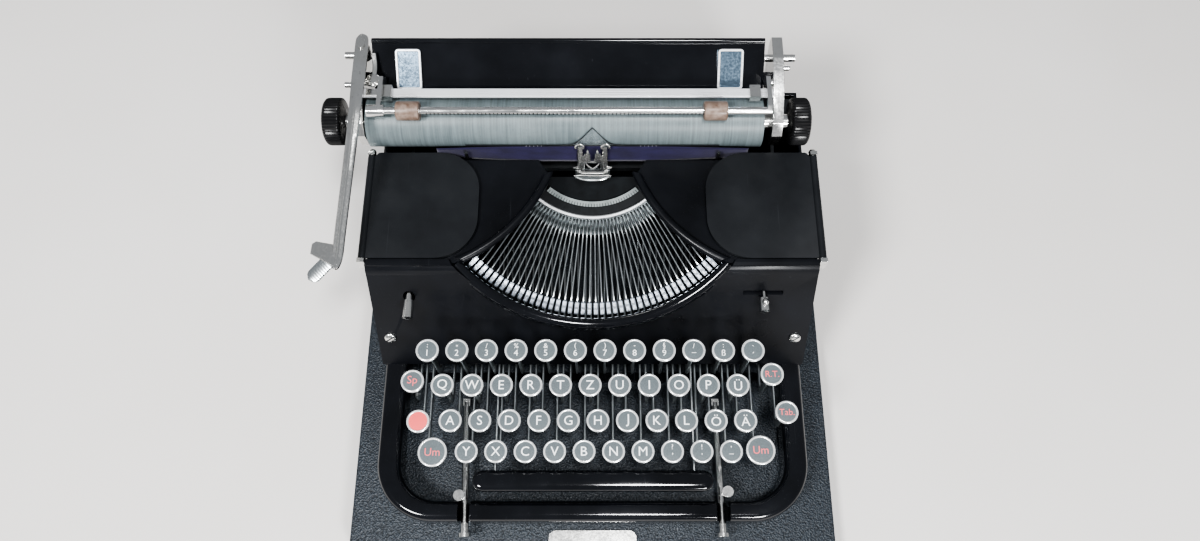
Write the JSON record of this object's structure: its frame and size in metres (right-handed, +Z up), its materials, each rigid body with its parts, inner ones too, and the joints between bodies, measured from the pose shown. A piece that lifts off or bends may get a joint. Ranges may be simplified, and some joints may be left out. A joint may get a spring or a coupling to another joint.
{
  "type": "portable typewriter",
  "caption": "Portable manual typewriter with round keys, open type basket and sliding carriage, clamped to the base board of its case.",
  "frame": {"origin": "centre of the underside of the case base board, on the machine's middle plane", "axes": "+X to the typist's right along the platen, +Y to the back, +Z up"},
  "size_m": [0.3416, 0.325, 0.156],
  "materials": {
    "leatherette": "pebbled leatherette over board",
    "nickel": "polished nickel plate with light wear",
    "bright_bar": "bright drawn steel",
    "rubber": "aged rubber",
    "black_enamel": "stoved gloss black enamel",
    "matte_black": "satin black enamel",
    "steel": "oiled steel",
    "ribbon_cloth": "inked woven ribbon",
    "clear_card": "clear sheet in a blackened holder",
    "platen_rubber": "grey platen rubber",
    "black_plastic": "ribbed black moulding",
    "key_cap": "grey disc under glass in a nickel ring"
  },
  "bodies": {
    "machine": {"case_base_board": "leatherette", "board_lock_plate": "nickel", "hold_down_rods": "nickel", "cover_hinge_pins": "nickel", "cowl_screws": "nickel", "type_guide": "nickel", "type_ring": "bright_bar", "rubber_feet": "rubber", "base_frame": "black_enamel", "front_rail_bar": "black_enamel", "body_shell": "black_enamel", "front_cowl": "black_enamel", "basket_rim": "black_enamel", "graduated_plate": "matte_black", "segment": "steel", "typebars": "steel", "key_lever_shaft": "steel", "inner_frame": "steel", "carriage_rail": "steel", "ribbon": "ribbon_cloth", "card_scale": "clear_card"},
    "carriage": {"carriage_beam": "steel", "carriage_end_left": "nickel", "carriage_end_right": "nickel", "margin_bar": "bright_bar", "paper_table": "black_enamel"},
    "platen": {"platen": "platen_rubber", "platen_shaft": "nickel", "platen_knobs": "black_plastic"},
    "return_lever": {"return_lever": "nickel"},
    "paper_bail": {"paper_bail": "nickel"},
    "bail_roller_left": {"bail_roller_left": "rubber"},
    "bail_roller_right": {"bail_roller_right": "rubber"},
    "paper_guide_left": {"paper_guide_left": "nickel"},
    "paper_guide_right": {"paper_guide_right": "nickel"},
    "margin_stop_left": {"margin_stop_left": "nickel"},
    "margin_stop_right": {"margin_stop_right": "nickel"},
    "carriage_release_left": {"carriage_release_left": "nickel"},
    "carriage_release_right": {"carriage_release_right": "nickel"},
    "left_spool_cover": {"left_spool_cover": "matte_black"},
    "right_spool_cover": {"right_spool_cover": "matte_black"},
    "left_ribbon_spool": {"left_ribbon_spool": "steel"},
    "right_ribbon_spool": {"right_ribbon_spool": "steel"},
    "ribbon_vibrator": {"ribbon_vibrator": "nickel"},
    "typebar_h": {"typebar_h": "steel"},
    "key_h": {"key_h": "key_cap"},
    "key_row_numbers": {"key_row_numbers": "key_cap"},
    "key_row_upper": {"key_row_upper": "key_cap"},
    "key_row_home": {"key_row_home": "key_cap"},
    "key_row_lower": {"key_row_lower": "key_cap"},
    "shift_key_left": {"shift_key_left": "key_cap"},
    "shift_key_right": {"shift_key_right": "key_cap"},
    "shift_lock_key": {"shift_lock_key": "key_cap"},
    "margin_release_key": {"margin_release_key": "key_cap"},
    "backspace_key": {"backspace_key": "key_cap"},
    "tab_key": {"tab_key": "key_cap"},
    "spacebar": {"spacebar": "black_enamel"},
    "ribbon_colour_pin": {"ribbon_colour_pin": "nickel"},
    "touch_control_pin": {"touch_control_pin": "nickel"},
    "spring_drum": {"spring_drum": "steel"}
  },
  "joints": [
    {"name": "carriage_slide", "type": "slide", "parent": "machine", "child": "carriage", "axis": [1, 0, 0], "range_m": [-0.097, 0.133]},
    {"name": "platen_turn", "type": "hinge", "parent": "carriage", "child": "platen", "pos_m": [0, 0.1085, 0.122], "axis": [1, 0, 0], "continuous": true},
    {"name": "return_lever_swing", "type": "hinge", "parent": "carriage", "child": "return_lever", "pos_m": [-0.1502, 0.146, 0.153], "axis": [0, 0, 1], "range_deg": [0, 15], "stiffness_Nm_per_rad": 0.5, "springref_deg": -11.46},
    {"name": "bail_lift", "type": "hinge", "parent": "carriage", "child": "paper_bail", "pos_m": [0, 0.126, 0.142], "axis": [1, 0, 0], "range_deg": [-70, 0]},
    {"name": "bail_roller_left_spin", "type": "hinge", "parent": "paper_bail", "child": "bail_roller_left", "pos_m": [-0.1183, 0.103, 0.14444], "axis": [1, 0, 0], "continuous": true},
    {"name": "bail_roller_right_spin", "type": "hinge", "parent": "paper_bail", "child": "bail_roller_right", "pos_m": [0.0792, 0.103, 0.14444], "axis": [1, 0, 0], "continuous": true},
    {"name": "paper_guide_left_slide", "type": "slide", "parent": "carriage", "child": "paper_guide_left", "axis": [1, 0, 0], "range_m": [-0.008, 0.09]},
    {"name": "paper_guide_right_slide", "type": "slide", "parent": "carriage", "child": "paper_guide_right", "axis": [1, 0, 0], "range_m": [-0.08, 0.008]},
    {"name": "margin_stop_left_slide", "type": "slide", "parent": "carriage", "child": "margin_stop_left", "axis": [1, 0, 0], "range_m": [0, 0.1]},
    {"name": "margin_stop_right_slide", "type": "slide", "parent": "carriage", "child": "margin_stop_right", "axis": [1, 0, 0], "range_m": [-0.1, 0]},
    {"name": "carriage_release_left_push", "type": "slide", "parent": "carriage", "child": "carriage_release_left", "axis": [1, 0, 0], "range_m": [0, 0.003], "stiffness_N_per_m": 200, "springref_m": -0.002},
    {"name": "carriage_release_right_push", "type": "slide", "parent": "carriage", "child": "carriage_release_right", "axis": [1, 0, 0], "range_m": [-0.003, 0], "stiffness_N_per_m": 200, "springref_m": 0.002},
    {"name": "left_cover_open", "type": "hinge", "parent": "machine", "child": "left_spool_cover", "pos_m": [-0.1475, 0.052, 0.1118], "axis": [0, 1, 0], "range_deg": [-85, 0]},
    {"name": "right_cover_open", "type": "hinge", "parent": "machine", "child": "right_spool_cover", "pos_m": [0.1475, 0.052, 0.1118], "axis": [0, -1, 0], "range_deg": [-85, 0]},
    {"name": "left_spool_turn", "type": "hinge", "parent": "machine", "child": "left_ribbon_spool", "pos_m": [-0.1095, 0.052, 0.086], "axis": [0, 0, 1], "continuous": true},
    {"name": "right_spool_turn", "type": "hinge", "parent": "machine", "child": "right_ribbon_spool", "pos_m": [0.1095, 0.052, 0.086], "axis": [0, 0, 1], "continuous": true},
    {"name": "typebar_h_swing", "type": "hinge", "parent": "machine", "child": "typebar_h", "pos_m": [0.00126, 0.05912, 0.06671], "axis": [-0.9998, -0.0144, -0.0144], "range_deg": [0, 116.7]},
    {"name": "vibrator_lift", "type": "slide", "parent": "machine", "child": "ribbon_vibrator", "axis": [0, 0.342, 0.9397], "range_m": [0, 0.007]},
    {"name": "key_h_press", "type": "hinge", "parent": "machine", "child": "key_h", "pos_m": [0, 0.095, 0.033], "axis": [1, 0, 0], "range_deg": [0, 4.23], "stiffness_Nm_per_rad": 0.3, "springref_deg": -17.19},
    {"name": "number_row_press", "type": "hinge", "parent": "machine", "child": "key_row_numbers", "pos_m": [0, 0.095, 0.033], "axis": [1, 0, 0], "range_deg": [0, 5.54], "stiffness_Nm_per_rad": 1.2, "springref_deg": -20.05},
    {"name": "upper_row_press", "type": "hinge", "parent": "machine", "child": "key_row_upper", "pos_m": [0, 0.095, 0.033], "axis": [1, 0, 0], "range_deg": [0, 4.8], "stiffness_Nm_per_rad": 1.2, "springref_deg": -20.05},
    {"name": "home_row_press", "type": "hinge", "parent": "machine", "child": "key_row_home", "pos_m": [0, 0.095, 0.033], "axis": [1, 0, 0], "range_deg": [0, 4.23], "stiffness_Nm_per_rad": 1.2, "springref_deg": -20.05},
    {"name": "lower_row_press", "type": "hinge", "parent": "machine", "child": "key_row_lower", "pos_m": [0, 0.095, 0.033], "axis": [1, 0, 0], "range_deg": [0, 3.83], "stiffness_Nm_per_rad": 1.3, "springref_deg": -20.05},
    {"name": "shift_left_press", "type": "hinge", "parent": "machine", "child": "shift_key_left", "pos_m": [0, 0.095, 0.033], "axis": [1, 0, 0], "range_deg": [0, 3.82], "stiffness_Nm_per_rad": 0.3, "springref_deg": -17.19},
    {"name": "shift_right_press", "type": "hinge", "parent": "machine", "child": "shift_key_right", "pos_m": [0, 0.095, 0.033], "axis": [1, 0, 0], "range_deg": [0, 3.85], "stiffness_Nm_per_rad": 0.3, "springref_deg": -17.19},
    {"name": "shift_lock_press", "type": "hinge", "parent": "machine", "child": "shift_lock_key", "pos_m": [0, 0.095, 0.033], "axis": [1, 0, 0], "range_deg": [0, 4.2], "stiffness_Nm_per_rad": 0.3, "springref_deg": -17.19},
    {"name": "margin_release_press", "type": "hinge", "parent": "machine", "child": "margin_release_key", "pos_m": [0, 0.095, 0.033], "axis": [1, 0, 0], "range_deg": [0, 4.86], "stiffness_Nm_per_rad": 0.3, "springref_deg": -17.19},
    {"name": "backspace_press", "type": "hinge", "parent": "machine", "child": "backspace_key", "pos_m": [0, 0.095, 0.033], "axis": [1, 0, 0], "range_deg": [0, 5.01], "stiffness_Nm_per_rad": 0.3, "springref_deg": -17.19},
    {"name": "tab_press", "type": "hinge", "parent": "machine", "child": "tab_key", "pos_m": [0, 0.095, 0.033], "axis": [1, 0, 0], "range_deg": [0, 4.34], "stiffness_Nm_per_rad": 0.3, "springref_deg": -17.19},
    {"name": "spacebar_press", "type": "hinge", "parent": "machine", "child": "spacebar", "pos_m": [0, 0.095, 0.033], "axis": [1, 0, 0], "range_deg": [0, 2.17], "stiffness_Nm_per_rad": 1, "springref_deg": -22.92},
    {"name": "ribbon_colour_slide", "type": "slide", "parent": "machine", "child": "ribbon_colour_pin", "axis": [1, 0, 0], "range_m": [-0.01, 0.01]},
    {"name": "touch_control_push", "type": "slide", "parent": "machine", "child": "touch_control_pin", "axis": [0, 1, 0], "range_m": [0, 0.004]},
    {"name": "spring_drum_turn", "type": "hinge", "parent": "machine", "child": "spring_drum", "pos_m": [-0.104, 0.135, 0.062], "axis": [0, 1, 0], "range_deg": [-309, 424]}
  ],
  "couplings": [
    {"joint": "typebar_h_swing", "follows": "key_h_press", "ratio": 27.541},
    {"joint": "vibrator_lift", "follows": "key_h_press", "m_per_rad": 0.09211},
    {"joint": "shift_right_press", "follows": "shift_left_press", "ratio": 1},
    {"joint": "right_spool_turn", "follows": "left_spool_turn", "ratio": 1},
    {"joint": "spring_drum_turn", "follows": "carriage_slide", "rad_per_m": 55.556}
  ]
}
